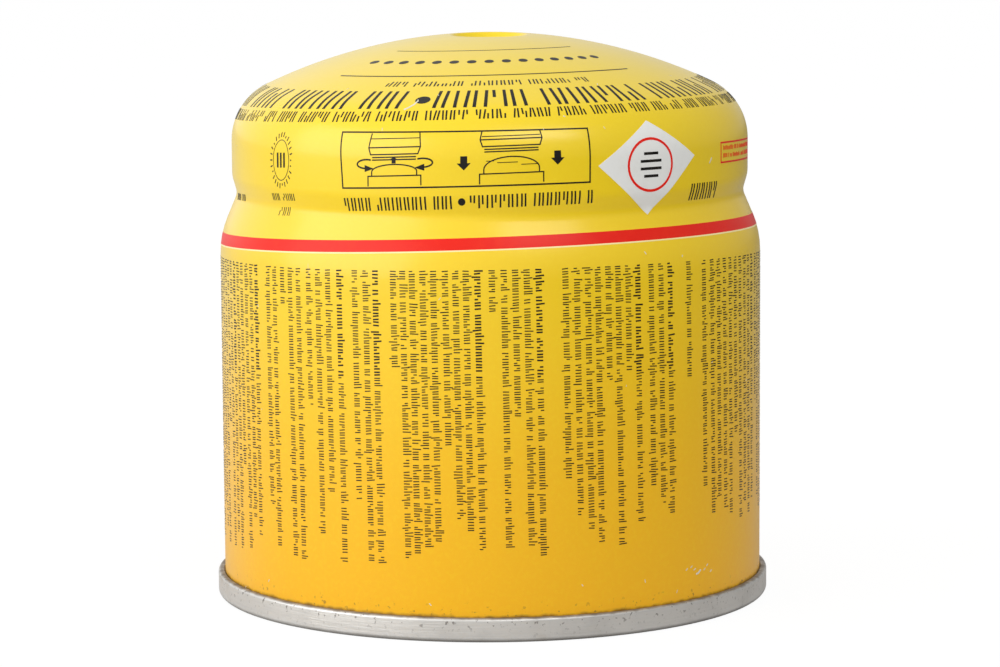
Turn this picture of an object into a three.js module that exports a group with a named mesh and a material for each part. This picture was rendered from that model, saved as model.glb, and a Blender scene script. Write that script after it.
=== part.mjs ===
// Pierceable fuel canister: one closed solid of revolution, in millimetres, +Z up, standing on its seam.
// The drawn body, its dome and the seamed base form one sealed shell, so the can is a single solid.
import * as THREE from 'three';

// Body and neck
const canHeight = 93.2; // floor to the rim of the piercing dimple
const bodyRadius = 45;
const neckRadius = 42.9;
const grooveRadius = 42.2; // narrowest point, between shoulder and neck
const grooveHeight = 67.3;
const shoulderSlope = 23; // degrees from the can's axis
const neckSlope = 16;
const shoulderBend = 15; // bend radii of the drawn wall
const grooveBend = 2.5;
const neckBend = 5;

// Dome: a crown sphere that runs into a knuckle ring
const crownRadius = 86.7;
const knuckleRadius = 10;

// Flat-floored dimple where the stove's needle pierces the dome
const dimpleRadius = 6.3;
const dimpleDepth = 0.9;
const dimpleWallSlope = 50;
const dimpleBend = 0.6;

// Double seam that joins the base end to the body, and that the can stands on
const seamOverhang = 1.15;
const seamHeight = 3.9;
const seamThickness = 1.8;
const seamTopBend = 0.85;
const seamOuterBend = 0.75;
const seamInnerBend = 0.45;
const creviceWidth = 0.2; // between the body wall and the crest of the seam
const creviceDepth = 0.3;
const creviceBend = 0.1;

// Base end, domed inwards
const countersinkDepth = 5;
const chuckWallTaper = 4; // degrees
const countersinkBend = 1.5;
const basePanelSlope = 13;

// Smoothness
const aroundSteps = 60;
const bendStep = 16; // largest turn between two points of a small bend, in degrees
const domeStep = 2.8; // the same on the wide domes
const knuckleStep = 6.5;

const yellowLacquer = new THREE.MeshStandardMaterial({ color: 0xf5c81e, roughness: 0.3, metalness: 0.1 });

const radians = THREE.MathUtils.degToRad;

function point(radius, height) {
  return new THREE.Vector2(radius, height);
}

// Points of an arc from one angle to another, both ends included, angles in radians from +X.
function arc(centre, radius, from, to, largestStep) {
  const steps = Math.max(1, Math.ceil(Math.abs(to - from) / radians(largestStep) - 1e-9));
  return Array.from({ length: steps + 1 }, (_, i) => {
    const angle = from + ((to - from) * i) / steps;
    return point(centre.x + radius * Math.cos(angle), centre.y + radius * Math.sin(angle));
  });
}

// Length that a bend takes from each of the two straight walls it joins.
function bendReach(bend, turn) {
  return bend * Math.tan(Math.abs(turn) / 2);
}

// The arc that rounds a corner between the walls to `before` and `after`, never longer than half of either.
function rounded(before, corner, after, bend) {
  const arriving = corner.clone().sub(before);
  const leaving = after.clone().sub(corner);
  const turn = Math.atan2(arriving.cross(leaving), arriving.dot(leaving));
  const longestReach = Math.min(arriving.length(), leaving.length()) / 2;
  const reach = Math.min(bendReach(bend, turn), longestReach);
  const radius = reach / Math.tan(Math.abs(turn) / 2);
  const side = Math.sign(turn);
  const start = corner.clone().addScaledVector(arriving.normalize(), -reach);
  const centre = point(start.x - side * radius * arriving.y, start.y + side * radius * arriving.x);
  const from = Math.atan2(start.y - centre.y, start.x - centre.x);
  return arc(centre, radius, from, from + turn, bendStep);
}

// Walks along corners of the form { at, bend } and rounds each one that has a bend.
function bentWall(corners) {
  return corners.flatMap(({ at, bend }, i) => {
    if (!bend) return [at];
    return rounded(corners[i - 1].at, at, corners[i + 1].at, bend);
  });
}

// The base end from its centre to the corner of its chuck wall: a shallow inward dome with a conical edge.
function basePanel(corner) {
  const slope = radians(basePanelSlope);
  const chuckTurn = Math.PI / 2 - slope + radians(chuckWallTaper);
  const edgeLength = 2 * bendReach(countersinkBend, chuckTurn);
  const edgeRadius = corner.x - edgeLength * Math.cos(slope);
  const edgeHeight = corner.y + edgeLength * Math.sin(slope);
  const sphereRadius = edgeRadius / Math.sin(slope);
  const centre = point(0, edgeHeight - sphereRadius * Math.cos(slope));
  return arc(centre, sphereRadius, Math.PI / 2, Math.PI / 2 - slope, domeStep);
}

// The double seam's section, from the chuck wall round under the rim and up its outer face to the body wall.
function seamWall() {
  const outerRadius = bodyRadius + seamOverhang;
  const chuckRadius = outerRadius - seamThickness;
  const countersink = point(chuckRadius - countersinkDepth * Math.tan(radians(chuckWallTaper)), countersinkDepth);
  const panel = basePanel(countersink);
  const wall = bentWall([
    { at: panel.at(-1) },
    { at: countersink, bend: countersinkBend },
    { at: point(chuckRadius, 0), bend: seamInnerBend },
    { at: point(outerRadius, 0), bend: seamOuterBend },
    { at: point(outerRadius, seamHeight), bend: seamTopBend },
    { at: point(bodyRadius + creviceWidth, seamHeight), bend: creviceBend },
    { at: point(bodyRadius, seamHeight - creviceDepth) },
  ]);
  return [...panel.slice(0, -1), ...wall];
}

// The drawn wall: body, shoulder slope, groove and the neck up to the knuckle.
function drawnWall(knuckleHeight) {
  const grooveTurn = radians(shoulderSlope + neckSlope);
  const grooveCut = grooveBend * (1 / Math.cos(grooveTurn / 2) - 1);
  const groove = point(grooveRadius - grooveCut, grooveHeight);
  const shoulderDrop = (bodyRadius - groove.x) / Math.tan(radians(shoulderSlope));
  const neckRise = (neckRadius - groove.x) / Math.tan(radians(neckSlope));
  return bentWall([
    { at: point(bodyRadius, seamHeight - creviceDepth) },
    { at: point(bodyRadius, groove.y - shoulderDrop), bend: shoulderBend },
    { at: groove, bend: grooveBend },
    { at: point(neckRadius, groove.y + neckRise), bend: neckBend },
    { at: point(neckRadius, knuckleHeight) },
  ]).slice(1);
}

// The dimple's section, from its rim on the crown down to the flat floor and in to the axis.
function dimpleWall(crownPoint) {
  const floorHeight = canHeight - dimpleDepth;
  const floorRadius = dimpleRadius - dimpleDepth / Math.tan(radians(dimpleWallSlope));
  return bentWall([
    { at: crownPoint },
    { at: point(dimpleRadius, canHeight), bend: dimpleBend },
    { at: point(floorRadius, floorHeight), bend: dimpleBend },
    { at: point(0, floorHeight) },
  ]).slice(1);
}

// Knuckle and crown are tangent arcs; the crown stops at the dimple's rim.
function domeWall() {
  const sphereHeight = canHeight - Math.sqrt(crownRadius ** 2 - dimpleRadius ** 2);
  const knuckleOffset = neckRadius - knuckleRadius;
  const centreDistance = crownRadius - knuckleRadius;
  const knuckleHeight = sphereHeight + Math.sqrt(centreDistance ** 2 - knuckleOffset ** 2);
  const meeting = Math.acos(knuckleOffset / centreDistance);
  const rim = Math.acos(dimpleRadius / crownRadius);
  const knuckle = arc(point(knuckleOffset, knuckleHeight), knuckleRadius, 0, meeting, knuckleStep);
  const crown = arc(point(0, sphereHeight), crownRadius, meeting, rim, domeStep);
  const wall = [...knuckle.slice(1), ...crown.slice(1, -1), ...dimpleWall(crown.at(-2))];
  return { knuckleHeight, wall };
}

function canister() {
  const dome = domeWall();
  const section = [...seamWall(), ...drawnWall(dome.knuckleHeight), ...dome.wall];
  const geometry = new THREE.LatheGeometry(section, aroundSteps);
  geometry.rotateX(Math.PI / 2); // the lathe turns about +Y, the can stands along +Z
  const mesh = new THREE.Mesh(geometry, yellowLacquer);
  mesh.name = 'canister';
  return mesh;
}

const fuelCanister = new THREE.Group();
fuelCanister.add(canister());

export default fuelCanister;
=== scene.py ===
import math
import random

import bpy
from mathutils import Matrix, Vector


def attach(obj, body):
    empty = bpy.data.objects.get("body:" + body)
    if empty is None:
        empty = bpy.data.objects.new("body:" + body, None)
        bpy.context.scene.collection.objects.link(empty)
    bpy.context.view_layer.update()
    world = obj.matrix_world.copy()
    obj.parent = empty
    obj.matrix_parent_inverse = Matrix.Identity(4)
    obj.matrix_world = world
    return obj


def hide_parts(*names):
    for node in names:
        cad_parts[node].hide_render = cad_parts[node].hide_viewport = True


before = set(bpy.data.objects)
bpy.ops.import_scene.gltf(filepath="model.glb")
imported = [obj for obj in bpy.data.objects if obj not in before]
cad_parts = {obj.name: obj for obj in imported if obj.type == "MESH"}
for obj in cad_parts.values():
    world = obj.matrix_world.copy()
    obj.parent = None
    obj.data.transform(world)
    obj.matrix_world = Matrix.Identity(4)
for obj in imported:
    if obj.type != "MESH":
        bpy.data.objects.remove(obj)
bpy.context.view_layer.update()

# Pierceable fuel canister: a printed, drawn can that stands on the tinplate seam of its base end.
# Sizes are in millimetres and degrees, except in materials and on the stage, where they are in metres.
scene = bpy.context.scene
mm = 0.001
body = "root"
joinWithin = 1e-6  # points closer than this, in metres, become one
smoothUpTo = 35.0  # a steeper edge stays sharp


def linear(red, green, blue):
    # a colour as read off a screen, 0 to 255, in the renderer's linear values
    steps = [value / 255 for value in (red, green, blue)]
    return tuple(s / 12.92 if s <= 0.04045 else ((s + 0.055) / 1.055) ** 2.4 for s in steps)


class Wire:
    # a node's output that Python's operators work on
    def __init__(self, graph, socket):
        self.graph = graph
        self.socket = socket

    def __add__(self, other):
        return self.graph.maths("ADD", self, other)

    def __radd__(self, other):
        return self.graph.maths("ADD", other, self)

    def __sub__(self, other):
        return self.graph.maths("SUBTRACT", self, other)

    def __rsub__(self, other):
        return self.graph.maths("SUBTRACT", other, self)

    def __mul__(self, other):
        return self.graph.maths("MULTIPLY", self, other)

    def __rmul__(self, other):
        return self.graph.maths("MULTIPLY", other, self)

    def __truediv__(self, other):
        return self.graph.maths("DIVIDE", self, other)

    def __rtruediv__(self, other):
        return self.graph.maths("DIVIDE", other, self)

    def __neg__(self):
        return self.graph.maths("MULTIPLY", self, -1.0)


class Graph:
    # builds one node tree, of a material or of Geometry Nodes
    def __init__(self, tree):
        self.tree = tree

    def feed(self, socket, value):
        if isinstance(value, Wire):
            self.tree.links.new(value.socket, socket)
        elif socket.type == "RGBA":
            socket.default_value = (*value, 1.0)
        else:
            socket.default_value = value

    def node(self, kind, settings=None, sockets=None):
        made = self.tree.nodes.new(kind)
        for name, value in (settings or {}).items():
            if name == "stops":
                self.setStops(made.color_ramp, value)
            else:
                setattr(made, name, value)
        for key, value in (sockets or {}).items():
            self.feed(made.inputs[key], value)
        return made

    def setStops(self, ramp, stops):
        while len(ramp.elements) < len(stops):
            ramp.elements.new(0.5)
        for element, (place, colour) in zip(ramp.elements, stops):
            element.position = place
            element.color = (*colour, 1.0)

    def out(self, made, key=0):
        return Wire(self, made.outputs[key])

    def maths(self, operation, first, second=0.0):
        return self.out(self.node("ShaderNodeMath", {"operation": operation}, {0: first, 1: second}))

    def larger(self, first, second):
        return self.maths("MAXIMUM", first, second)

    def sharpen(self, value, low, high):
        made = self.node("ShaderNodeMapRange", {"interpolation_type": "SMOOTHSTEP"},
                         {"Value": value, "From Min": low, "From Max": high})
        return self.out(made, "Result")

    def blend(self, factor, first, second):
        made = self.node("ShaderNodeMix", {"data_type": "RGBA"}, {"Factor": factor, 6: first, 7: second})
        return self.out(made, 2)

    def noise(self, vector, scale, detail=3.0, roughness=0.55):
        made = self.node("ShaderNodeTexNoise", {"noise_dimensions": "3D"},
                         {"Vector": vector, "Scale": scale, "Detail": detail, "Roughness": roughness})
        return self.out(made, "Fac")

    def stretch(self, vector, scale):
        made = self.node("ShaderNodeMapping", {"vector_type": "POINT"}, {"Vector": vector, "Scale": scale})
        return self.out(made)

    def apart(self, vector):
        made = self.node("ShaderNodeSeparateXYZ", None, {"Vector": vector})
        return [self.out(made, axis) for axis in ("X", "Y", "Z")]

    def together(self, x, y, z):
        return self.out(self.node("ShaderNodeCombineXYZ", None, {"X": x, "Y": y, "Z": z}))


def added(name, data):
    made = bpy.data.objects.new(name, data)
    scene.collection.objects.link(made)
    return made


def emptied(owner):
    # a material's or the world's own tree, with nothing in it yet
    owner.use_nodes = True
    owner.node_tree.nodes.clear()
    return Graph(owner.node_tree)


# the can's section, on the same arcs as the solid
can = {
    "height": 93.2,
    "bodyRadius": 45.0,
    "neckRadius": 42.9,
    "grooveRadius": 42.2,
    "grooveHeight": 67.3,
    "shoulderSlope": 23.0,
    "neckSlope": 16.0,
    "shoulderBend": 15.0,
    "grooveBend": 2.5,
    "neckBend": 5.0,
    "crownRadius": 86.7,
    "knuckleRadius": 10.0,
    "dimpleRadius": 6.3,
    "dimpleDepth": 0.9,
    "dimpleWallSlope": 50.0,
    "dimpleBend": 0.6,
    "bendStep": 6.0,
    "knuckleStep": 3.0,
    "domeStep": 1.0,
    "wallStep": 3.0,
    "aroundSteps": 240,
}
baseSeam = {
    "overhang": 1.15,
    "height": 3.9,
    "thickness": 1.8,
    "topBend": 0.85,
    "outerBend": 0.75,
    "innerBend": 0.45,
    "creviceWidth": 0.2,
    "creviceDepth": 0.3,
    "creviceBend": 0.1,
    "countersinkDepth": 5.0,
    "chuckTaper": 4.0,
    "countersinkBend": 1.5,
    "panelSlope": 13.0,
    "sheet": 0.3,
    "behindCrevice": (-0.32, 0.02),  # the hidden side's corners, from the crevice and from the countersink
    "besideSink": (0.6, -0.7),
    "aboveSink": (-0.3, 0.2),
}
# the hidden disc that closes the lacquered skin, above the base end
inside = {"height": 11.2, "radius": 44.75, "foot": 3.64, "step": 12.0, "lip": 0.3}
creviceRoot = Vector((can["bodyRadius"], baseSeam["height"] - baseSeam["creviceDepth"]))


def arc(centre, radius, start, end, step):
    count = max(1, math.ceil(abs(end - start) / math.radians(step) - 1e-9))
    angles = [start + (end - start) * i / count for i in range(count + 1)]
    return [centre + Vector((math.cos(angle), math.sin(angle))) * radius for angle in angles]


def rounded(before, corner, after, bend):
    arriving = corner - before
    leaving = after - corner
    turn = math.atan2(arriving.cross(leaving), arriving.dot(leaving))
    reach = min(bend * math.tan(abs(turn) / 2), min(arriving.length, leaving.length) / 2)
    radius = reach / math.tan(abs(turn) / 2)
    side = math.copysign(1, turn)
    arriving = arriving.normalized()
    first = corner - arriving * reach
    centre = first + Vector((-arriving.y, arriving.x)) * (side * radius)
    start = math.atan2(first.y - centre.y, first.x - centre.x)
    return arc(centre, radius, start, start + turn, can["bendStep"])


def bentWall(corners):
    wall = []
    for i, (place, bend) in enumerate(corners):
        if bend:
            wall += rounded(corners[i - 1][0], place, corners[i + 1][0], bend)
        else:
            wall.append(place)
    return wall


def drawnWall():
    # from the crevice of the seam up the body, shoulder, groove, neck, knuckle and crown to the axis
    shoulder = math.radians(can["shoulderSlope"])
    neck = math.radians(can["neckSlope"])
    cut = can["grooveBend"] * (1 / math.cos((shoulder + neck) / 2) - 1)
    groove = Vector((can["grooveRadius"] - cut, can["grooveHeight"]))
    drop = (can["bodyRadius"] - groove.x) / math.tan(shoulder)
    rise = (can["neckRadius"] - groove.x) / math.tan(neck)
    sphere = Vector((0, can["height"] - math.sqrt(can["crownRadius"] ** 2 - can["dimpleRadius"] ** 2)))
    offset = can["neckRadius"] - can["knuckleRadius"]
    between = can["crownRadius"] - can["knuckleRadius"]
    knuckle = Vector((offset, sphere.y + math.sqrt(between ** 2 - offset ** 2)))
    meeting = math.acos(offset / between)
    rim = math.acos(can["dimpleRadius"] / can["crownRadius"])
    side = bentWall([
        (creviceRoot, 0),
        (Vector((can["bodyRadius"], groove.y - drop)), can["shoulderBend"]),
        (groove, can["grooveBend"]),
        (Vector((can["neckRadius"], groove.y + rise)), can["neckBend"]),
        (Vector((can["neckRadius"], knuckle.y)), 0),
    ])
    bulge = arc(knuckle, can["knuckleRadius"], 0, meeting, can["knuckleStep"])
    crown = arc(sphere, can["crownRadius"], meeting, rim, can["domeStep"])
    floorHeight = can["height"] - can["dimpleDepth"]
    floorRadius = can["dimpleRadius"] - can["dimpleDepth"] / math.tan(math.radians(can["dimpleWallSlope"]))
    dimple = bentWall([
        (crown[-2], 0),
        (Vector((can["dimpleRadius"], can["height"])), can["dimpleBend"]),
        (Vector((floorRadius, floorHeight)), can["dimpleBend"]),
        (Vector((0, floorHeight)), 0),
    ])
    return side + bulge[1:] + crown[1:-1] + dimple[1:]


def seamWall():
    # from the middle of the base end out to its chuck wall, round under the seam and up to the crevice
    outer = can["bodyRadius"] + baseSeam["overhang"]
    chuck = outer - baseSeam["thickness"]
    taper = math.radians(baseSeam["chuckTaper"])
    sink = Vector((chuck - baseSeam["countersinkDepth"] * math.tan(taper), baseSeam["countersinkDepth"]))
    slope = math.radians(baseSeam["panelSlope"])
    edge = 2 * baseSeam["countersinkBend"] * math.tan((math.pi / 2 - slope + taper) / 2)
    edgeRadius = sink.x - edge * math.cos(slope)
    edgeHeight = sink.y + edge * math.sin(slope)
    domeRadius = edgeRadius / math.sin(slope)
    centre = Vector((0, edgeHeight - domeRadius * math.cos(slope)))
    basePanel = arc(centre, domeRadius, math.pi / 2, math.pi / 2 - slope, can["domeStep"])
    seam = bentWall([
        (basePanel[-1], 0),
        (sink, baseSeam["countersinkBend"]),
        (Vector((chuck, 0)), baseSeam["innerBend"]),
        (Vector((outer, 0)), baseSeam["outerBend"]),
        (Vector((outer, baseSeam["height"])), baseSeam["topBend"]),
        (Vector((can["bodyRadius"] + baseSeam["creviceWidth"], baseSeam["height"])), baseSeam["creviceBend"]),
        (creviceRoot, 0),
    ])
    # the hidden side of the sheet, back to the axis
    back = [creviceRoot + Vector(baseSeam["behindCrevice"]), sink + Vector(baseSeam["besideSink"]),
            sink + Vector(baseSeam["aboveSink"])]
    back += [place + Vector((0, baseSeam["sheet"])) for place in reversed(basePanel)]
    return basePanel[:-1] + seam + back


def divided(points, longest):
    # adds points so that no stretch is longer than that
    result = [points[0]]
    for before, after in zip(points, points[1:]):
        count = max(1, math.ceil((after - before).length / longest))
        result += [before.lerp(after, (i + 1) / count) for i in range(count)]
    return result


def sectionMesh(name, points):
    # a polyline whose X is the radius, Y the share of its length and Z the height
    lengths = [0.0]
    for before, after in zip(points, points[1:]):
        lengths.append(lengths[-1] + (after - before).length)
    places = [(p.x * mm, length / lengths[-1], p.y * mm) for p, length in zip(points, lengths)]
    mesh = bpy.data.meshes.new(name)
    mesh.from_pydata(places, [(i, i + 1) for i in range(len(places) - 1)], [])
    return mesh


# Geometry Nodes: one tree turns a section into a shell, two wrap print onto the wall
def newTree(name, sockets):
    tree = bpy.data.node_groups.new(name, "GeometryNodeTree")
    tree.interface.new_socket("Geometry", in_out="OUTPUT", socket_type="NodeSocketGeometry")
    tree.interface.new_socket("Geometry", in_out="INPUT", socket_type="NodeSocketGeometry")
    for label, kind in sockets:
        tree.interface.new_socket(label, in_out="INPUT", socket_type=kind)
    graph = Graph(tree)
    given = graph.node("NodeGroupInput")
    return graph, {item.name: graph.out(given, item.name) for item in given.outputs if item.name}


def finishTree(graph, geometry, material):
    loose = graph.node("GeometryNodeRealizeInstances", None, {"Geometry": geometry})
    merged = graph.node("GeometryNodeMergeByDistance", None, {
        "Geometry": graph.out(loose), "Distance": joinWithin})
    painted = graph.node("GeometryNodeSetMaterial", None, {
        "Geometry": graph.out(merged), "Material": material})
    graph.node("NodeGroupOutput", None, {"Geometry": graph.out(painted)})
    return graph.tree


def turnedTree():
    graph, given = newTree("turned shell", [
        ("Around Steps", "NodeSocketInt"), ("Section Points", "NodeSocketInt"),
        ("Material", "NodeSocketMaterial")])
    columns = graph.maths("ADD", given["Around Steps"], 1)
    grid = graph.node("GeometryNodeMeshGrid", None, {
        "Size X": 1.0, "Size Y": 1.0, "Vertices X": columns, "Vertices Y": given["Section Points"]})
    across, along = graph.apart(graph.out(graph.node("GeometryNodeInputPosition")))[:2]
    row = graph.maths("ROUND", (along + 0.5) * (given["Section Points"] - 1))
    place = graph.out(graph.node("GeometryNodeInputPosition"))
    sample = graph.node("GeometryNodeSampleIndex", {"data_type": "FLOAT_VECTOR", "domain": "POINT"}, {
        "Geometry": given["Geometry"], "Value": place, "Index": row})
    radius, share, height = graph.apart(graph.out(sample))
    angle = (across + 0.5) * math.tau
    unwrapped = graph.node("GeometryNodeStoreNamedAttribute", {"data_type": "FLOAT2", "domain": "CORNER"}, {
        "Geometry": graph.out(grid, "Mesh"), "Name": "OFBake",
        "Value": graph.together(across + 0.5, share, 0.0)})
    sideways = radius * graph.maths("SINE", angle)
    deep = radius * graph.maths("COSINE", angle)
    turned = graph.node("GeometryNodeSetPosition", None, {
        "Geometry": graph.out(unwrapped), "Position": graph.together(sideways, -deep, height)})
    return finishTree(graph, graph.out(turned), given["Material"])


wrapSockets = [
    ("Section", "NodeSocketObject"), ("Body Radius", "NodeSocketFloat"), ("Side Tilt", "NodeSocketFloat"),
    ("Front Tilt", "NodeSocketFloat"), ("Material", "NodeSocketMaterial")]


def wrapped(graph, given, geometry):
    # flat X goes round the wall from its front, flat Y up along the section, flat Z out from the wall
    across, along, lift = graph.apart(graph.out(graph.node("GeometryNodeInputPosition")))
    angle = across / given["Body Radius"]
    sine = graph.maths("SINE", angle)
    cosine = graph.maths("COSINE", angle)
    along = along + given["Side Tilt"] * sine + given["Front Tilt"] * (cosine - 1)
    section = graph.node("GeometryNodeObjectInfo", {"transform_space": "ORIGINAL"}, {
        "Object": given["Section"]})
    curve = graph.node("GeometryNodeMeshToCurve", None, {"Mesh": graph.out(section, "Geometry")})
    sample = graph.node("GeometryNodeSampleCurve", {"mode": "LENGTH"}, {
        "Curves": graph.out(curve), "Length": along})
    place = graph.apart(graph.out(sample, "Position"))
    tangent = graph.apart(graph.out(sample, "Tangent"))
    radius = place[0] + tangent[2] * lift
    placed = graph.node("GeometryNodeSetPosition", None, {
        "Geometry": geometry,
        "Position": graph.together(radius * sine, -(radius * cosine), place[2] - tangent[0] * lift)})
    return finishTree(graph, graph.out(placed), given["Material"])


def wrapTree():
    graph, given = newTree("wrapped print", wrapSockets)
    return wrapped(graph, given, given["Geometry"])


def strokeTree():
    # each point of the flat mesh becomes one upright stroke of print, sized and leant by its attributes
    graph, given = newTree("wrapped strokes", wrapSockets + [("Stroke Steps", "NodeSocketInt")])
    stroke = graph.node("GeometryNodeMeshCube", None, {
        "Size": (1.0, 1.0, 1.0), "Vertices X": 2, "Vertices Y": given["Stroke Steps"], "Vertices Z": 2})
    size = graph.node("GeometryNodeInputNamedAttribute", {"data_type": "FLOAT_VECTOR"}, {"Name": "size"})
    lean = graph.node("GeometryNodeInputNamedAttribute", {"data_type": "FLOAT"}, {"Name": "lean"})
    turn = graph.node("FunctionNodeEulerToRotation", None, {
        "Euler": graph.together(0.0, 0.0, graph.out(lean))})
    placed = graph.node("GeometryNodeInstanceOnPoints", None, {
        "Points": given["Geometry"], "Instance": graph.out(stroke, "Mesh"), "Rotation": graph.out(turn),
        "Scale": graph.out(size)})
    loose = graph.node("GeometryNodeRealizeInstances", None, {"Geometry": graph.out(placed)})
    return wrapped(graph, given, graph.out(loose))


def built(name, mesh, tree, values):
    # runs the tree on a carrier object and keeps only the plain mesh that it makes
    carrier = added(name + "Carrier", mesh)
    modifier = carrier.modifiers.new("make", "NODES")
    modifier.node_group = tree
    for item in tree.interface.items_tree:
        if item.item_type == "SOCKET" and item.name in values:
            modifier[item.identifier] = values[item.name]
    depsgraph = bpy.context.evaluated_depsgraph_get()
    made = bpy.data.meshes.new_from_object(carrier.evaluated_get(depsgraph), depsgraph=depsgraph)
    bpy.data.objects.remove(carrier)
    made.validate()
    made.name = name
    made.shade_smooth()
    made.set_sharp_from_angle(angle=math.radians(smoothUpTo))
    print(name, "has", sum(len(face.vertices) - 2 for face in made.polygons), "triangles")
    return added(name, made)


# materials: heights and distances in metres, colours 0 to 255, noise scales per metre
def surface(name, roughness, constants):
    material = bpy.data.materials.new(name)
    graph = emptied(material)
    shader = graph.node("ShaderNodeBsdfPrincipled", None, {"Roughness": roughness, **constants})
    graph.node("ShaderNodeOutputMaterial", None, {"Surface": graph.out(shader)})
    place = graph.out(graph.node("ShaderNodeTexCoord"), "Object")
    return material, graph, shader, place


def bumped(graph, shader, height, distance):
    made = graph.node("ShaderNodeBump", None, {"Height": height, "Distance": distance, "Strength": 1.0})
    graph.feed(shader.inputs["Normal"], graph.out(made))


lacquer = {
    "stops": [(0.0, (248, 182, 0)), (0.28, (249, 191, 0)), (0.55, (249, 206, 4)), (0.76, (248, 212, 0)),
              (1.0, (244, 213, 2))],
    "top": 0.0932,  # where the last stop stands
    "grain": (255, 226, 30),
    "patch": (236, 178, 30),
    "worn": (226, 196, 120),
    # colour of the dirt and painted crevice shade above the seam, and of the specks
    "grimeAndShade": (96, 66, 30),
    "grimeAndShadeTop": (0.0037, 0.0044),
    "specksTop": (0.0042, 0.0068),
    "glossRise": (0.012, 0.066),
    "roughness": 0.36,
    "coat": 0.66,
    "peel": 0.000012,
}


def lacquerMaterial():
    material, graph, shader, place = surface("yellowLacquer", lacquer["roughness"], {
        "Coat Weight": lacquer["coat"], "Coat Roughness": 0.22, "IOR": 1.5, "Specular IOR Level": 0.36})
    height = graph.apart(place)[2]
    cloud = graph.noise(place, 38.0, 4.0)
    stops = [(level, linear(*colour)) for level, colour in lacquer["stops"]]
    level = height / lacquer["top"] + (cloud - 0.5) * 0.05
    ramp = graph.node("ShaderNodeValToRGB", {"stops": stops}, {"Fac": level})
    # a faint mottle: fine grain, and wider patches that are a little deeper
    grain = graph.noise(place, 1400.0, 2.0)
    colour = graph.blend(graph.sharpen(grain, 0.42, 0.75) * 0.12, graph.out(ramp), linear(*lacquer["grain"]))
    patch = graph.noise(place, 14.0, 3.0)
    colour = graph.blend(graph.sharpen(patch, 0.5, 0.8) * 0.10, colour, linear(*lacquer["patch"]))
    # dirt and painted shade in the crevice above the seam, ragged at its upper edge, with loose specks of
    # dirt over it
    ragged = height + (graph.noise(place, 520.0, 4.0) - 0.5) * 0.0010
    dirtAndShade = (1 - graph.sharpen(ragged, *lacquer["grimeAndShadeTop"])) * 0.8
    specks = graph.sharpen(graph.noise(place, 1100.0, 2.0), 0.64, 0.70)
    specks = specks * (1 - graph.sharpen(height, *lacquer["specksTop"]))
    colour = graph.blend(graph.larger(dirtAndShade, specks * 0.6), colour, linear(*lacquer["grimeAndShade"]))
    # dust-fine scuffs, here and there
    scuff = graph.sharpen(graph.noise(graph.stretch(place, (1.0, 1.0, 0.16)), 620.0, 3.0, 0.7), 0.69, 0.74)
    scuff = scuff * graph.sharpen(graph.noise(place, 60.0, 2.0), 0.56, 0.68)
    colour = graph.blend(scuff * 0.45, colour, linear(*lacquer["worn"]))
    graph.feed(shader.inputs["Base Color"], colour)
    dull = lacquer["roughness"] + (cloud - 0.5) * 0.10 + scuff * 0.2 + dirtAndShade * 0.3
    graph.feed(shader.inputs["Roughness"], dull)
    # the gloss is rubbed duller towards the base
    gloss = lacquer["coat"] * (0.45 + graph.sharpen(height, *lacquer["glossRise"]) * 0.55)
    graph.feed(shader.inputs["Coat Weight"], gloss - dirtAndShade * 0.15)
    peel = graph.noise(place, 520.0, 2.0) + graph.noise(place, 45.0, 2.0) * 3.0
    bumped(graph, shader, peel, lacquer["peel"])
    return material


tin = {
    "bright": (226, 224, 220),
    "dull": (188, 186, 182),
    # colour of the dirt specks and of the painted shade at the seam's foot and crevice
    "grimeAndShade": (74, 62, 48),
    "stain": (166, 148, 120),
    "specksFrom": (0.0016, 0.0034),  # the specks are denser above this height
    # the next two bands: painted shade along the lower bend of the seam, then dirt with painted shade in the
    # crevice at its top
    "foot": (0.0002, 0.0009),
    "creviceDirtAndShade": (0.0036, 0.0040),
    "outside": (0.0445, 0.0450),  # radius from which the foot carries painted shade and the crevice carries dirt and painted shade
    "roughness": 0.3,
    "metallic": 0.68,
    "rolledDepth": 0.00002,
}


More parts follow.
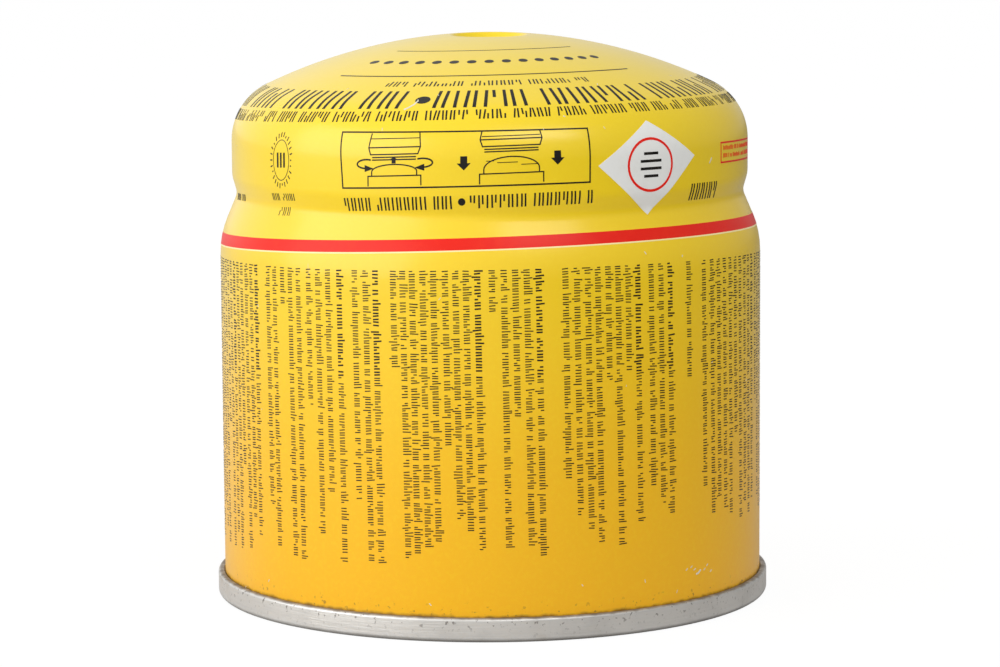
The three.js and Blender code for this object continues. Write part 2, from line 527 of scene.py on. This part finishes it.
def tinMaterial():
    material, graph, shader, place = surface("tinplate", tin["roughness"], {"Metallic": tin["metallic"]})
    across, deep, height = graph.apart(place)
    angle = graph.maths("ARCTAN2", deep, across)
    # fine lines round the can, left by the seaming rolls
    sine = graph.maths("SINE", angle)
    cosine = graph.maths("COSINE", angle)
    rolled = graph.noise(graph.together(sine * 0.02, cosine * 0.02, height * 12), 260.0, 4.0, 0.7)
    cloud = graph.noise(place, 120.0, 4.0, 0.6)
    dulled = graph.sharpen(cloud, 0.42, 0.75) * 0.4 + rolled * 0.35
    colour = graph.blend(dulled, linear(*tin["bright"]), linear(*tin["dull"]))
    near = 0.25 + graph.sharpen(height, *tin["specksFrom"]) * 0.75
    specks = graph.sharpen(graph.noise(place, 1300.0, 3.0, 0.6), 0.60, 0.67) * near * 1.5
    # painted shade along the seam's lower bend, and dirt with painted shade in the crevice at its top
    foot = 1 - graph.sharpen(height + (graph.noise(place, 300.0, 3.0) - 0.5) * 0.0004, *tin["foot"])
    creviceDirtAndShade = graph.sharpen(height + (graph.noise(place, 500.0, 3.0) - 0.5) * 0.0005, *tin["creviceDirtAndShade"])
    outside = graph.sharpen(across * across + deep * deep, *[radius ** 2 for radius in tin["outside"]])
    dirtAndShade = graph.larger(specks * 0.5, graph.larger(foot * 0.62, creviceDirtAndShade * 0.8) * outside)
    stain = graph.sharpen(graph.noise(place, 48.0, 4.0, 0.65), 0.56, 0.72) * 0.4
    colour = graph.blend(stain, colour, linear(*tin["stain"]))
    graph.feed(shader.inputs["Base Color"], graph.blend(dirtAndShade, colour, linear(*tin["grimeAndShade"])))
    graph.feed(shader.inputs["Metallic"], tin["metallic"] - dirtAndShade * 0.5)
    graph.feed(shader.inputs["Roughness"], tin["roughness"] + cloud * 0.16 + dirtAndShade * 0.3)
    bumped(graph, shader, rolled * 2.0 + cloud, tin["rolledDepth"])
    return material


def inkMaterial(name, colour, faded, roughness):
    material, graph, shader, place = surface(name, roughness, {
        "Coat Weight": 0.06, "Coat Roughness": 0.22, "IOR": 1.45, "Specular IOR Level": 0.3})
    mottle = graph.noise(place, 520.0, 4.0, 0.6)
    thin = graph.noise(place, 70.0, 3.0)
    tone = graph.blend(graph.sharpen(mottle, 0.45, 0.8) * 0.35 + graph.sharpen(thin, 0.5, 0.85) * 0.25,
                       linear(*colour), linear(*faded))
    graph.feed(shader.inputs["Base Color"], tone)
    graph.feed(shader.inputs["Roughness"], roughness + (mottle - 0.5) * 0.12)
    bumped(graph, shader, mottle, 0.000006)
    return material


yellowLacquer = lacquerMaterial()
tinplate = tinMaterial()
darkInk = inkMaterial("darkInk", (24, 16, 10), (62, 44, 22), 0.38)
lineInk = inkMaterial("lineInk", (18, 16, 12), (54, 42, 24), 0.38)
redInk = inkMaterial("redInk", (236, 26, 2), (246, 52, 10), 0.36)
creamInk = inkMaterial("creamInk", (255, 238, 176), (250, 224, 130), 0.36)
stickerFilm = inkMaterial("labelFilm", (240, 240, 236), (224, 222, 214), 0.42)
bareScratch = inkMaterial("bareScratch", (226, 222, 206), (190, 176, 140), 0.4)
print("materials made")


# the two sheet-metal pieces
turnTree = turnedTree()
skinWall = divided(drawnWall(), can["wallStep"])
corner = Vector((inside["radius"], inside["foot"]))
closing = [Vector((0, inside["height"])), Vector((inside["radius"], inside["height"])), corner]
skinSection = divided(closing, inside["step"])
skinSection += [skinWall[0], skinWall[0] + Vector((0, inside["lip"]))] + skinWall[1:]
skin = built("printed_skin", sectionMesh("skinSection", skinSection), turnTree, {
    "Around Steps": can["aroundSteps"], "Section Points": len(skinSection), "Material": yellowLacquer})
seamSection = divided(seamWall(), can["wallStep"])
baseEnd = built("base_end", sectionMesh("seamSection", seamSection), turnTree, {
    "Around Steps": can["aroundSteps"], "Section Points": len(seamSection), "Material": tinplate})

# the line that print follows runs up the outside, from the crevice to the rim of the dimple
printEnd = can["dimpleRadius"] - 0.2
guide = added("printGuide", sectionMesh("printGuide", [p for p in skinWall if p.x > printEnd]))
for vertex in guide.data.vertices:
    vertex.co.y = 0.0


# flat print: X is the distance round the body from its front, Y the height along the wall
class FlatPrint:
    def __init__(self):
        self.points = []
        self.faces = []

    def patch(self, rows, closed=False):
        start = len(self.points)
        width = len(rows[0])
        for row in rows:
            self.points += [tuple(place) for place in row]
        for j in range(len(rows) - 1):
            for i in range(width if closed else width - 1):
                a = start + j * width + i
                b = start + j * width + (i + 1) % width
                self.faces.append((a, b, b + width, a + width))

    def quad(self, corners, longest=0.7):
        # corners run anticlockwise; the patch is divided so that it follows the wall
        lowLeft, lowRight, highRight, highLeft = [Vector(c) for c in corners]
        wide = max((lowRight - lowLeft).length, (highRight - highLeft).length)
        tall = max((highLeft - lowLeft).length, (highRight - lowRight).length)
        columns = max(1, math.ceil(wide / longest))
        lines = max(1, math.ceil(tall / longest))
        rows = []
        for j in range(lines + 1):
            left = lowLeft.lerp(highLeft, j / lines)
            right = lowRight.lerp(highRight, j / lines)
            rows.append([left.lerp(right, i / columns) for i in range(columns + 1)])
        self.patch(rows)

    def box(self, left, right, low, high):
        self.quad([(left, low), (right, low), (right, high), (left, high)])

    def line(self, places, width, closed=False, longest=0.8):
        places = [Vector(place) for place in places]
        if closed:
            places = divided(places + [places[0]], longest)[:-1]
        else:
            places = divided(places, longest)
        rows = [[], []]
        for i, place in enumerate(places):
            before = places[i - 1] if (i or closed) else place
            after = places[(i + 1) % len(places)] if (closed or i < len(places) - 1) else place
            arriving = (place - before) if (place - before).length > 1e-9 else (after - place)
            leaving = (after - place) if (after - place).length > 1e-9 else arriving
            first = Vector((-arriving.y, arriving.x)).normalized()
            second = Vector((-leaving.y, leaving.x)).normalized()
            middle = (first + second).normalized()
            reach = width / 2 / max(0.5, middle.dot(first))
            rows[0].append(place - middle * reach)
            rows[1].append(place + middle * reach)
        self.patch(rows, closed)

    def disc(self, x, y, radius, tall=1.0, sides=18):
        start = len(self.points)
        for i in range(sides):
            angle = math.tau * i / sides
            self.points.append((x + radius * math.cos(angle), y + radius * tall * math.sin(angle)))
        self.faces.append(tuple(range(start, start + sides)))

    def ellipse(self, x, y, wide, tall, width, start=0.0, end=360.0):
        count = max(8, round(abs(end - start) / 10))
        angles = [math.radians(start + (end - start) * i / count) for i in range(count + 1)]
        places = [(x + wide * math.cos(a), y + tall * math.sin(a)) for a in angles]
        full = abs(end - start) >= 360
        self.line(places[:-1] if full else places, width, closed=full)

    def slab(self, name, low, high):
        # a closed film between two distances from the wall
        count = len(self.points)
        places = [(x * mm, y * mm, lift * mm) for lift in (high, low) for x, y in self.points]
        faces = list(self.faces) + [tuple(i + count for i in reversed(face)) for face in self.faces]
        edges = set()
        for face in self.faces:
            edges.update(zip(face, face[1:] + face[:1]))
        faces += [(a + count, b + count, b, a) for a, b in sorted(edges) if (b, a) not in edges]
        mesh = bpy.data.meshes.new(name)
        mesh.from_pydata(places, [], faces)
        return mesh


tilt = {"side": 1.4, "front": 2.4}  # the print sits a little askew on the drawn can
films = {"under": -0.03, "ink": 0.022, "overInk": 0.034, "sticker": 0.07, "stickerInk": 0.09}
printTree = wrapTree()
strokesTree = strokeTree()


def wrapValues(material):
    return {"Section": guide, "Body Radius": can["bodyRadius"] * mm, "Side Tilt": tilt["side"] * mm,
            "Front Tilt": tilt["front"] * mm, "Material": material}


def printed(name, flat, material, lift, under=films["under"]):
    return built(name, flat.slab(name + "Flat", under, lift), printTree, wrapValues(material))


def atAngle(degrees):
    # the distance round the body for an angle from its front
    return math.radians(degrees) * can["bodyRadius"]


smallStroke = {
    "clusters": (2, 3, 4, 5, 6, 7, 9, 11),  # in a run
    "stems": (1, 1, 2, 2),  # in a cluster
    "tall": 0.98, "width": 0.17, "pitch": 0.35, "boldWidth": 0.25, "boldPitch": 0.42, "boldLength": 17,
    "clusterGap": 0.12, "runGap": 0.5, "lean": 5, "plainShare": 0.78, "longTall": 1.38, "longShift": 0.2,
    "hangingShare": 0.25, "shortShare": 0.16, "shortTall": 0.55, "shortShifts": (-0.2, 0.22),
}


class Strokes:
    # rows of plain strokes, set like lines of print
    def __init__(self, seed):
        self.chance = random.Random(seed)
        self.items = []

    def smallStem(self, x, y, bold):
        chance = self.chance
        tall = smallStroke["tall"]
        shift = 0.0
        if chance.random() >= smallStroke["plainShare"]:
            tall = smallStroke["longTall"]
            shift = smallStroke["longShift"]
            if chance.random() < smallStroke["hangingShare"]:
                shift = -shift
        if chance.random() < smallStroke["shortShare"]:
            tall = smallStroke["shortTall"]
            shift = chance.choice(smallStroke["shortShifts"])
        width = smallStroke["boldWidth"] if bold else smallStroke["width"]
        lean = math.radians(chance.uniform(-smallStroke["lean"], smallStroke["lean"]))
        self.items.append((x + shift, y, tall, width, lean))

    def column(self, x, top, end, bold, drift):
        # a line that is read downwards: its strokes lie across it, and their tall ends point right
        y = top
        while y > end:
            for cluster in range(self.chance.choice(smallStroke["clusters"])):
                for stem in range(self.chance.choice(smallStroke["stems"])):
                    heavy = bold and top - y < smallStroke["boldLength"]
                    self.smallStem(x + drift * (top - y), y, heavy)
                    y -= smallStroke["boldPitch"] if heavy else smallStroke["pitch"]
                y -= smallStroke["clusterGap"]
                if y < end:
                    break
            y -= smallStroke["runGap"]

    def row(self, left, right, low, high, wide, pitch, runs=(3, 8), gap=1.6, wobble=4.0, short=0.2):
        # a line that goes round the can, its strokes upright
        x = left
        tall = high - low
        while x < right:
            for cluster in range(self.chance.randint(*runs)):
                for stem in range(self.chance.choice((1, 2, 2))):
                    if x > right:
                        return
                    share = 1.0 if self.chance.random() > short else self.chance.uniform(0.45, 0.7)
                    foot = low + self.chance.choice((0.0, tall * (1 - share)))
                    lean = math.radians(self.chance.uniform(-wobble, wobble))
                    self.items.append((x, foot + tall * share / 2, wide, tall * share, lean))
                    x += pitch
                x += pitch * 0.3
            x += pitch * gap

    def built(self, name, material, steps, lift):
        mesh = bpy.data.meshes.new(name + "Points")
        middle = (lift + films["under"]) / 2
        mesh.from_pydata([(item[0] * mm, item[1] * mm, middle * mm) for item in self.items], [], [])
        mesh.attributes.new("size", "FLOAT_VECTOR", "POINT")
        mesh.attributes.new("lean", "FLOAT", "POINT")
        size = mesh.attributes["size"]
        lean = mesh.attributes["lean"]
        thick = (lift - films["under"]) * mm
        for i, item in enumerate(self.items):
            size.data[i].vector = (item[2] * mm, item[3] * mm, thick)
            lean.data[i].value = item[4]
        return built(name, mesh, strokesTree, {**wrapValues(material), "Stroke Steps": steps})


# stripe under the groove, with its thin pale line
stripe = {"low": 59.0, "high": 60.95, "line": 0.24, "across": 4, "step": 1.5}


def ringBand(low, high, across):
    flat = FlatPrint()
    count = round(360 / stripe["step"])
    reach = math.pi * can["bodyRadius"]
    rows = []
    for j in range(across + 1):
        y = low + (high - low) * j / across
        rows.append([(-reach + 2 * reach * i / count, y) for i in range(count)])
    flat.patch(rows, closed=True)
    return flat


redBand = ringBand(stripe["low"], stripe["high"], stripe["across"])
redStripe = printed("red_stripe", redBand, redInk, films["ink"])
paleBand = ringBand(stripe["low"] - stripe["line"], stripe["low"], 1)
paleLine = printed("pale_line", paleBand, creamInk, films["ink"])

# the blocks of small print: one entry a line, its angle and where it ends
blocks = {
    "seed": 417,
    "drift": 0.014,
    "topHeight": 55.6,
    "topSlope": -0.015,
    "bold": {"far": (0, 5), "left": (0, 3), "middle": (0, 5), "right": (0, 3), "farRight": (0, 3),
             "beyond": (0, 3)},
    "far": [(-57.4, 12.0), (-59.6, 15.0), (-61.9, 10.0), (-64.2, 24.0), (-66.4, 9.5), (-68.6, 12.0),
            (-71.0, 9.5), (-73.2, 30.0), (-75.5, 9.8), (-77.9, 12.0), (-80.2, 16.0), (-82.5, 9.6),
            (-84.9, 22.0), (-87.2, 10.4), (-89.6, 9.6), (-92.0, 34.0)],
    "left": [(-23.9, 8.9), (-26.1, 9.7), (-28.6, 19.3), (-32.3, 9.0), (-35.1, 20.8), (-37.7, 13.4),
             (-40.2, 34.4), (-43.1, 9.0), (-45.5, 9.7), (-47.9, 50.3), (-50.5, 11.0), (-52.8, 18.2)],
    "middle": [(9.6, 10.0), (7.2, 11.7), (4.9, 31.8), (2.6, 11.1), (0.2, 49.4), (-2.7, 11.6),
               (-5.0, 13.7), (-7.1, 16.1), (-9.2, 28.2), (-11.6, 12.2), (-13.8, 12.2), (-16.0, 10.6),
               (-18.0, 10.1), (-20.0, 40.2)],
    "right": [(39.3, 14.4), (36.9, 16.2), (34.4, 18.9), (31.1, 14.3), (28.8, 38.6), (26.5, 10.6),
              (24.3, 37.2), (22.0, 10.9), (19.8, 13.5), (17.5, 16.0), (15.1, 21.8)],
    "farRight": [(79.6, 11.0), (77.2, 14.0), (74.8, 30.0), (71.6, 13.9), (69.2, 12.0), (66.8, 14.4),
                 (64.2, 11.5), (61.8, 26.0), (59.4, 12.6), (57.0, 13.7), (54.6, 15.7), (52.2, 12.7),
                 (49.4, 17.8), (44.6, 36.8)],
    "beyond": [(103.0, 12.0), (100.6, 10.0), (98.2, 26.0), (95.4, 11.0), (93.0, 13.0), (90.6, 9.8),
               (88.2, 18.0), (85.8, 12.0), (83.4, 40.0)],
}
smallPrint = Strokes(blocks["seed"])
for block, bold in blocks["bold"].items():
    for index, (angle, end) in enumerate(blocks[block]):
        top = blocks["topHeight"] + blocks["topSlope"] * angle
        smallPrint.column(atAngle(angle), top, end, index in bold, blocks["drift"])
textStrokes = smallPrint.built("small_print", darkInk, 2, films["ink"])

# rows of larger print on the neck and the dome
largeRows = {
    "seed": 90,
    "neck": {"gap": 1.3, "wobble": 2.0, "short": 0.12},
    "side": {},
    "farSide": {"wobble": 6.0},
    "knuckle": {"gap": 1.5, "wobble": 8.0, "short": 0.35},
    "domeLeft": {"runs": (3, 5), "gap": 1.4, "short": 0.12},
    "domeRight": {"runs": (4, 7), "gap": 1.4, "short": 0.12},
    "crown": {"short": 0.3},
    # style, left, right, low, high, width of a stroke and pitch
    "rows": [
        ("neck", -25.6, -6.2, 65.75, 67.95, 0.28, 0.6),
        ("neck", -3.2, 17.6, 65.75, 67.9, 0.28, 0.6),
        ("side", -43.4, -36.8, 67.4, 68.6, 0.2, 0.42),
        ("side", -41.6, -38.4, 64.9, 66.3, 0.18, 0.5),
        ("side", -62.8, -54.6, 66.9, 68.0, 0.3, 0.55),
        ("farSide", 38.4, 46.6, 64.9, 67.7, 0.32, 0.66),
        ("knuckle", atAngle(-96), atAngle(96), 80.3, 82.3, 0.3, 0.62),
        ("domeLeft", atAngle(-104), atAngle(-21.0), 82.9, 88.1, 0.66, 1.62),
        ("domeRight", atAngle(-13), atAngle(104), 82.9, 88.1, 0.66, 1.62),
        ("crown", atAngle(-30), atAngle(31), 89.8, 91.5, 0.34, 0.78),
    ],
}
largePrint = Strokes(largeRows["seed"])
for style, *sizes in largeRows["rows"]:
    largePrint.row(*sizes, **largeRows[style])
domePrint = largePrint.built("bold_print", lineInk, 9, films["ink"])

# line art: the panel of drawings, dots, and the ring on the left
panel = {
    "corners": [(-25.8, 69.55), (16.9, 69.15), (17.0, 77.75), (-26.4, 78.5)],
    "line": 0.25,
    "thin": 0.2,
    "cans": [(-16.2, 69.75, 9.4, "lifted"), (3.6, 69.6, 10.6, "seated")],
    "arrows": [(-16.2, 73.3, 74.4, 1.4, True), (-4.3, 71.9, 74.1, 2.3, False),
               (11.3, 72.2, 74.4, 2.3, False)],
    # a turning arrow on each side of the left drawing, both pointing inwards: its sweep and its head
    "turning": [
        ((-21.2, 73.3, 1.7, 0.7, 0.26, 60, 262),
         [(-21.5, 72.05), (-19.9, 72.52), (-19.9, 72.58), (-21.5, 73.15)]),
        ((-11.2, 73.3, 1.7, 0.7, 0.26, -82, 120),
         [(-12.5, 72.52), (-10.9, 72.05), (-10.9, 73.15), (-12.5, 72.58)]),
    ],
    "shine": [(72.9, 1.2, 4.6), (72.5, 5.2, 8.0), (73.2, -0.6, 0.7)],
    "shineLine": 0.12,
}
drawing = {
    "rimTall": 1.6, "crownIn": 0.7, "crownFoot": 2.3, "crownTall": {"lifted": 1.1, "seated": 1.9},
    "collarFoot": {"lifted": 5.0, "seated": 5.9}, "collarTop": 8.42, "collarTopIn": 0.4, "flareTall": 1.1,
    "flareIn": 0.1, "flareLineIn": 0.2, "collarFootIn": 0.5, "bandDrop": 0.9,
    "bandLine": 0.7,  # share of the thin line
    "threadDrops": (0.45, 0.85), "threadIn": 0.8, "arrowTip": 0.03,
}
art = FlatPrint()


def canDrawing(x, low, wide, state):
    # a plain burner collar above a plain can
    left = x - wide / 2
    right = x + wide / 2
    thin = panel["thin"]
    rim = low + drawing["rimTall"]
    art.line([(left, low), (left, rim), (right, rim), (right, low)], thin)
    half = wide / 2 - drawing["crownIn"]
    crownFoot = low + drawing["crownFoot"]
    for side in (-half, half):
        art.line([(x + side, rim), (x + side, crownFoot)], thin)
    art.ellipse(x, crownFoot, half, drawing["crownTall"][state], thin, 0, 180)
    top = low + drawing["collarTop"]
    foot = low + drawing["collarFoot"][state]
    flare = foot + drawing["flareTall"]
    topIn = drawing["collarTopIn"]
    flareIn = drawing["flareIn"]
    footIn = drawing["collarFootIn"]
    art.line([(left + topIn, top), (left + flareIn, flare), (left + footIn, foot), (right - footIn, foot),
              (right - flareIn, flare), (right - topIn, top)], thin)
    levels = [(flare, drawing["flareLineIn"], thin)]
    levels.append((top - drawing["bandDrop"], topIn, thin * drawing["bandLine"]))
    levels += [(foot - drop, drawing["threadIn"], thin) for drop in drawing["threadDrops"]]
    for level, inset, width in levels:
        art.line([(left + inset, level), (right - inset, level)], width)


def arrow(x, low, high, wide, upwards):
    # a block arrow, with a shaft half as wide as its head
    shaft = wide / 4
    middle = (low + high) / 2
    tip = drawing["arrowTip"]
    if upwards:
        art.box(x - shaft, x + shaft, low, middle)
        art.quad([(x - wide / 2, middle), (x + wide / 2, middle), (x + tip, high), (x - tip, high)], 0.5)
    else:
        art.box(x - shaft, x + shaft, middle, high)
        art.quad([(x - tip, low), (x + tip, low), (x + wide / 2, middle), (x - wide / 2, middle)], 0.5)


art.line(panel["corners"], panel["line"], closed=True)
for sizes in panel["cans"]:
    canDrawing(*sizes)
for sizes in panel["arrows"]:
    arrow(*sizes)
for sweep, head in panel["turning"]:
    art.ellipse(*sweep)
    art.quad(head, 0.4)
for level, left, right in panel["shine"]:
    art.line([(left, level), (right, level)], panel["shineLine"])
art.disc(-4.7, 66.9, 0.62)
art.disc(atAngle(-16.6), 85.2, 1.5, 0.75)

# the round mark on the left: a ring of ticks round three plain bars
badge = {
    "x": -40.3, "y": 74.0, "wide": 2.55, "tall": 3.75, "ticks": 26, "tick": 0.62, "shortTick": 0.3,
    "shortEvery": 5, "tickLine": 0.2, "stretch": 1.3, "ringIn": (0.35, 0.5), "ringLine": 0.12,
    "bars": (-0.9, 0.0, 0.9), "barHalf": (0.22, 1.2),
}
for i in range(badge["ticks"]):
    angle = math.tau * i / badge["ticks"]
    length = badge["tick"] if i % badge["shortEvery"] else badge["shortTick"]
    across = math.cos(angle)
    along = math.sin(angle)
    inner = Vector((badge["x"] + badge["wide"] * across, badge["y"] + badge["tall"] * along))
    out = Vector((across, badge["stretch"] * along))
    art.line([inner, inner + out * length], badge["tickLine"])
art.ellipse(badge["x"], badge["y"], badge["wide"] - badge["ringIn"][0], badge["tall"] - badge["ringIn"][1],
            badge["ringLine"])
for shift in badge["bars"]:
    halfWide, halfTall = badge["barHalf"]
    middle = badge["x"] + shift
    art.box(middle - halfWide, middle + halfWide, badge["y"] - halfTall, badge["y"] + halfTall)

# two plain arcs and a row of dots near the middle of the dome
domeMarks = {
    "arcs": [(93.6, 0.30), (105.6, 0.22)], "reach": 52, "arcStep": 1.4, "dots": 15, "firstDot": -49,
    "dotEvery": 7, "dotHeight": 99.6, "dotRadius": 1.5, "dotShape": 0.5,
}
for level, width in domeMarks["arcs"]:
    art.line([(atAngle(-domeMarks["reach"]), level), (atAngle(domeMarks["reach"]), level)], width,
             longest=domeMarks["arcStep"])
for i in range(domeMarks["dots"]):
    angle = domeMarks["firstDot"] + domeMarks["dotEvery"] * i
    art.disc(atAngle(angle), domeMarks["dotHeight"], domeMarks["dotRadius"], domeMarks["dotShape"])
lineArt = printed("line_art", art, lineInk, films["ink"])

# red marks: the box on the right and its bars
redBox = {
    "left": 47.6, "right": 66.0, "low": 70.6, "high": 73.8, "line": 0.28, "seed": 12,
    "barLevels": (71.35, 72.6), "barFrom": 0.9, "barTo": 1.0, "barWide": 0.26, "barTall": (0.55, 0.7),
    "barEvery": (0.46, 0.46, 0.46, 0.8),
}
red = FlatPrint()
red.line([(redBox["left"], redBox["low"]), (redBox["right"], redBox["low"]),
          (redBox["right"], redBox["high"]), (redBox["left"], redBox["high"])], redBox["line"], closed=True)
chance = random.Random(redBox["seed"])
for level in redBox["barLevels"]:
    x = redBox["left"] + redBox["barFrom"]
    while x < redBox["right"] - redBox["barTo"]:
        red.box(x, x + redBox["barWide"], level, level + chance.choice(redBox["barTall"]))
        x += chance.choice(redBox["barEvery"])
redMarks = printed("red_marks", red, redInk, films["ink"])

# the sticker: a pale diamond of film, a thin red ring and four dark bars on it
sticker = {
    "corners": [(28.4, 63.2), (39.0, 72.26), (29.0, 78.5), (18.4, 71.6)], "middle": (28.7, 71.3),
    "ring": 4.6, "ringShape": 0.9, "line": 0.42, "bars": (3.0, 4.4, 4.4, 3.0), "firstBar": 1.8,
    "barEvery": 1.2, "barHalf": 0.22,
}
diamond = FlatPrint()
diamond.quad(sticker["corners"], 0.6)
labelFilm = printed("label_film", diamond, stickerFilm, films["sticker"])
ring = FlatPrint()
ring.ellipse(*sticker["middle"], sticker["ring"], sticker["ring"] * sticker["ringShape"], sticker["line"])
stickerRing = printed("sticker_ring", ring, redInk, films["stickerInk"], films["ink"])
marks = FlatPrint()
for i, length in enumerate(sticker["bars"]):
    x, y = sticker["middle"]
    level = y + sticker["firstBar"] - sticker["barEvery"] * i
    marks.box(x - length / 2, x + length / 2, level - sticker["barHalf"], level + sticker["barHalf"])
stickerBars = printed("sticker_bars", marks, lineInk, films["stickerInk"], films["ink"])

# wear: slivers where the lacquer is scratched through, with the places and width of the larger ones
wear = {
    "lines": [
        ([(atAngle(-17.7), 84.9), (atAngle(-18.2), 83.9), (atAngle(-19.2), 83.1),
          (atAngle(-20.2), 82.6)], 0.34),
        ([(atAngle(-17.9), 85.3), (atAngle(-17.6), 84.8)], 0.2),
        ([(atAngle(56.4), 71.6), (atAngle(55.4), 70.7)], 0.22),
        ([(atAngle(48.4), 4.6), (atAngle(47.6), 4.1), (atAngle(46.9), 4.0)], 0.3),
    ],
    "nicks": [(43.8, 4.9), (45.2, 5.2), (46.2, 4.7), (49.4, 4.4), (50.3, 5.0), (51.6, 3.9)],
    "nickReach": (0.45, 0.3),
    "nickWidth": 0.16,
    "step": 0.3,
    "seed": 5,
    "count": 46,
    "around": 175,
    "bands": [(1.0, 5.0), (74, 90), (20, 58)],
    "slant": 0.35,
    "tall": (0.15, 0.5),
    "width": (0.08, 0.16),
}
worn = FlatPrint()
for places, width in wear["lines"]:
    worn.line(places, width, longest=wear["step"])
for angle, level in wear["nicks"]:
    reach, rise = wear["nickReach"]
    worn.line([(atAngle(angle), level), (atAngle(angle) + reach, level + rise)], wear["nickWidth"],
              longest=wear["step"])
chance = random.Random(wear["seed"])
for i in range(wear["count"]):
    x = atAngle(chance.uniform(-wear["around"], wear["around"]))
    y = chance.choice([chance.uniform(*band) for band in wear["bands"]])
    slant = chance.uniform(-wear["slant"], wear["slant"])
    tip = (x + slant, y + chance.uniform(*wear["tall"]))
    worn.line([(x, y), tip], chance.uniform(*wear["width"]), longest=wear["step"])
scratches = printed("bare_scratches", worn, bareScratch, films["overInk"])
bpy.data.objects.remove(guide)
print("print wrapped")

# every piece rides on the one body
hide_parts("canister")
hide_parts("canister")
finishes = {
    "yellow_lacquer": [skin, paleLine],
    "tinplate": [baseEnd, scratches],
    "black_ink": [textStrokes, domePrint, lineArt, stickerBars],
    "red_ink": [redStripe, redMarks, stickerRing],
    "label_film": [labelFilm],
}
for slot, pieces in finishes.items():
    for piece in pieces:
        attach(piece, body)

# floor, light and camera, in metres
stage = {
    "reach": 6.0, "floorTone": 0.9, "unseenTone": 0.68, "fadeFrom": -0.15, "fadeTo": 0.38, "fade": 0.82,
    "whiteStrength": 1.03, "whiteShare": 0.9, "mirroredShare": 0.1, "surround": 0.92,
}
lamps = {
    "keyLight": {"place": (-1.3, -0.62, 0.5), "aim": (0, 0, 0.05), "size": (1.7, 1.3), "power": 12.5},
    "topLight": {"place": (0.45, -1.0, 1.1), "aim": (0, 0, 0.06), "size": (0.8, 0.5), "power": 4.4},
}
camera = {"eye": (0.0, -0.700, 0.1403), "aim": 0.124, "pitch": 7.91, "roll": -0.36, "lens": 151.8}


def floorPiece():
    reach = stage["reach"]
    mesh = bpy.data.meshes.new("floor")
    mesh.from_pydata([(-reach, -reach, 0), (reach, -reach, 0), (reach, reach, 0), (-reach, reach, 0)], [],
                     [(0, 1, 2, 3)])
    floor = added("floor", mesh)
    material = bpy.data.materials.new("paleFloor")
    graph = emptied(material)
    path = graph.node("ShaderNodeLightPath")
    direct = graph.out(path, "Is Camera Ray")
    seen = graph.larger(graph.out(path, "Is Glossy Ray"), graph.out(path, "Is Transmission Ray"))
    across = graph.apart(graph.out(graph.node("ShaderNodeTexCoord"), "Object"))[0]
    # painted shade: away from the large light the floor is coloured darker for all but direct looks; a direct
    # look finds it evenly white
    shadeAway = 1 - graph.sharpen(across, stage["fadeFrom"], stage["fadeTo"]) * stage["fade"]
    tone = stage["floorTone"] * (direct + (1 - direct) * shadeAway * stage["unseenTone"])
    matt = graph.node("ShaderNodeBsdfDiffuse", None, {"Color": graph.together(tone, tone, tone)})
    white = graph.node("ShaderNodeEmission", None, {
        "Color": (1.0, 1.0, 1.0), "Strength": stage["whiteStrength"]})
    share = direct * stage["whiteShare"] + seen * stage["mirroredShare"]
    mixed = graph.node("ShaderNodeMixShader", None, {"Fac": share, 1: graph.out(matt), 2: graph.out(white)})
    graph.node("ShaderNodeOutputMaterial", None, {"Surface": graph.out(mixed)})
    mesh.materials.append(material)


def whiteSurround(strength):
    scene.world = bpy.data.worlds.new("studio")
    graph = emptied(scene.world)
    path = graph.node("ShaderNodeLightPath")
    direct = graph.out(path, "Is Camera Ray")
    seen = graph.larger(direct, graph.out(path, "Is Glossy Ray"))
    seen = graph.larger(seen, graph.out(path, "Is Transmission Ray"))
    # the surround is paler on the left, where the large soft light stands
    direction = graph.apart(graph.out(graph.node("ShaderNodeTexCoord"), "Generated"))
    across = direction[0]
    mirrored = 1 - graph.sharpen(across, -0.5, 0.7) * 0.68
    towardsRight = 1 - graph.sharpen(across, 0.2, 1.0) * 0.25
    upwards = 1 - graph.sharpen(direction[2], 0.2, 1.0) * 0.25
    soft = towardsRight * upwards * strength
    level = direct + (1 - direct) * (seen * mirrored + (1 - seen) * soft)
    back = graph.node("ShaderNodeBackground", None, {"Color": (1.0, 1.0, 1.0), "Strength": level})
    graph.node("ShaderNodeOutputWorld", None, {"Surface": graph.out(back)})


def softLight(name, lamp):
    data = bpy.data.lights.new(name, "AREA")
    data.shape = "RECTANGLE"
    data.size, data.size_y = lamp["size"]
    data.energy = lamp["power"]
    holder = added(name, data)
    holder.location = lamp["place"]
    ahead = Vector(lamp["aim"]) - Vector(lamp["place"])
    holder.rotation_euler = ahead.to_track_quat("-Z", "Y").to_euler()


def photoCamera():
    aim = math.radians(camera["aim"])
    pitch = math.radians(camera["pitch"])
    roll = math.radians(camera["roll"])
    forward = Vector((math.sin(aim) * math.cos(pitch), math.cos(aim) * math.cos(pitch), -math.sin(pitch)))
    right = Vector((math.cos(aim), -math.sin(aim), 0))
    up = right.cross(forward)
    level = math.cos(roll) * right + math.sin(roll) * up
    upright = math.cos(roll) * up - math.sin(roll) * right
    data = bpy.data.cameras.new("camera")
    data.lens = camera["lens"]
    data.sensor_width = 36
    data.sensor_fit = "HORIZONTAL"
    data.clip_start = 0.01
    scene.camera = added("camera", data)
    turn = Matrix((level, upright, -forward)).transposed()
    scene.camera.matrix_world = Matrix.Translation(Vector(camera["eye"])) @ turn.to_4x4()


floorPiece()
whiteSurround(stage["surround"])
for name, lamp in lamps.items():
    softLight(name, lamp)
photoCamera()
scene.view_settings.view_transform = "Standard"
print("stage set")
